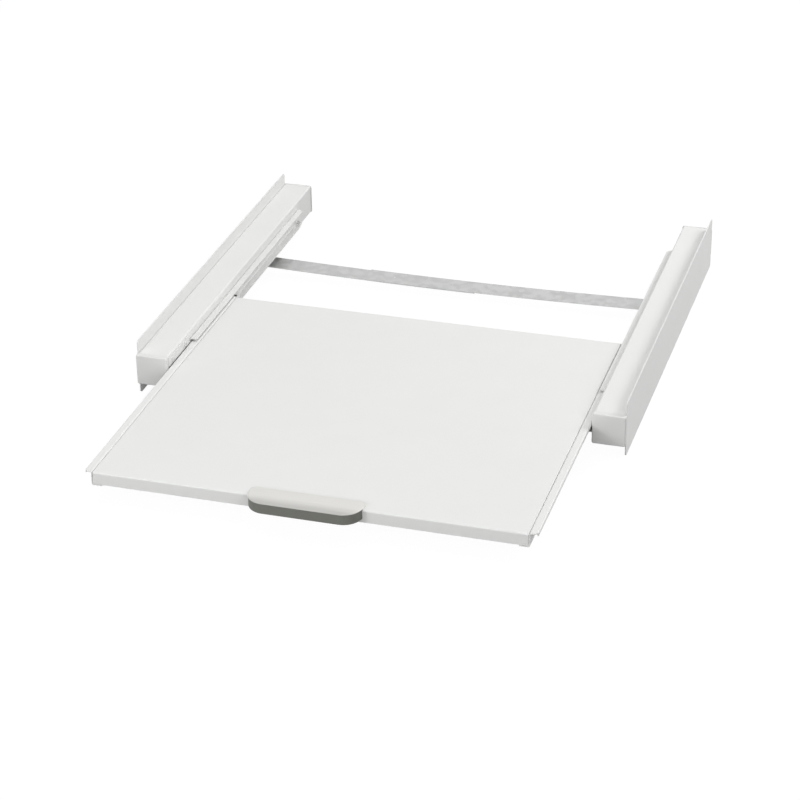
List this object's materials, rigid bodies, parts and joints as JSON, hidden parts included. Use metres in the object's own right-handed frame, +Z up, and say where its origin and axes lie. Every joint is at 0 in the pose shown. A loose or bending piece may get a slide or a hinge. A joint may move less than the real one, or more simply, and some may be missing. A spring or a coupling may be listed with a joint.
{
  "type": "washer dryer stacking kit",
  "caption": "Stacking kit that holds a dryer on top of a washer between two steel rails, with a shelf that pulls out on rollers to stand a basket on.",
  "frame": {"origin": "middle of the whole kit's width and length with the shelf pulled out as pictured, at the lower edges of the side plates", "axes": "X across the machines, right side positive; Y to the back, so the shelf pulls out towards -Y; Z up"},
  "size_m": [0.604, 0.8264, 0.07],
  "materials": {
    "white_steel": "white powder coat, satin, very fine texture",
    "white_screws": "white coated screw heads",
    "white_plastic": "moulded white plastic, fine grain",
    "cover_plastic": "moulded plastic, slightly warm white, satin",
    "grip_plastic": "moulded dark grey plastic, satin",
    "black_nylon": "turned black nylon",
    "zinc_steel": "bright zinc plate",
    "galvanised_steel": "galvanised strip, dull grey with faint spangle"
  },
  "bodies": {
    "frame": {"left_side_plate": "white_steel", "right_side_plate": "white_steel", "left_rail_box": "white_steel", "right_rail_box": "white_steel", "left_front_cap": "white_plastic", "right_front_cap": "white_plastic", "left_rear_cap": "white_plastic", "right_rear_cap": "white_plastic", "left_fixed_runner": "white_steel", "right_fixed_runner": "white_steel", "front_roller_pins": "zinc_steel", "runner_ear_screws": "white_screws", "runner_flush_screws": "zinc_steel", "crossbar_left": "galvanised_steel", "crossbar_right": "galvanised_steel", "crossbar_rivets": "zinc_steel", "crossbar_screws": "zinc_steel"},
    "shelf": {"shelf_tray": "white_steel", "left_shelf_runner": "white_steel", "right_shelf_runner": "white_steel", "rear_roller_pins": "zinc_steel", "tray_rivets": "zinc_steel", "handle_cover": "cover_plastic", "handle_grip": "grip_plastic", "handle_screws": "zinc_steel"},
    "front_left_roller": {"left_front_roller": "black_nylon"},
    "front_right_roller": {"right_front_roller": "black_nylon"},
    "rear_left_roller": {"left_rear_roller": "black_nylon"},
    "rear_right_roller": {"right_rear_roller": "black_nylon"}
  },
  "joints": [
    {"name": "shelf_slide", "type": "slide", "parent": "frame", "child": "shelf", "axis": [0, -1, 0], "range_m": [-0.255, 0.131]},
    {"name": "front_left_roller_spin", "type": "hinge", "parent": "frame", "child": "front_left_roller", "pos_m": [-0.257, -0.12125, 0.0326], "axis": [1, 0, 0], "range_deg": [-2400, 1260]},
    {"name": "front_right_roller_spin", "type": "hinge", "parent": "frame", "child": "front_right_roller", "pos_m": [0.257, -0.12125, 0.0326], "axis": [1, 0, 0], "range_deg": [-2400, 1260]},
    {"name": "rear_left_roller_spin", "type": "hinge", "parent": "shelf", "child": "rear_left_roller", "pos_m": [-0.2558, 0.08175, 0.0326], "axis": [1, 0, 0], "range_deg": [-2400, 1260]},
    {"name": "rear_right_roller_spin", "type": "hinge", "parent": "shelf", "child": "rear_right_roller", "pos_m": [0.2558, 0.08175, 0.0326], "axis": [1, 0, 0], "range_deg": [-2400, 1260]}
  ],
  "couplings": [
    {"joint": "front_left_roller_spin", "follows": "shelf_slide", "rad_per_m": 161.29},
    {"joint": "front_right_roller_spin", "follows": "shelf_slide", "rad_per_m": 161.29},
    {"joint": "rear_left_roller_spin", "follows": "shelf_slide", "rad_per_m": 161.29},
    {"joint": "rear_right_roller_spin", "follows": "shelf_slide", "rad_per_m": 161.29}
  ]
}
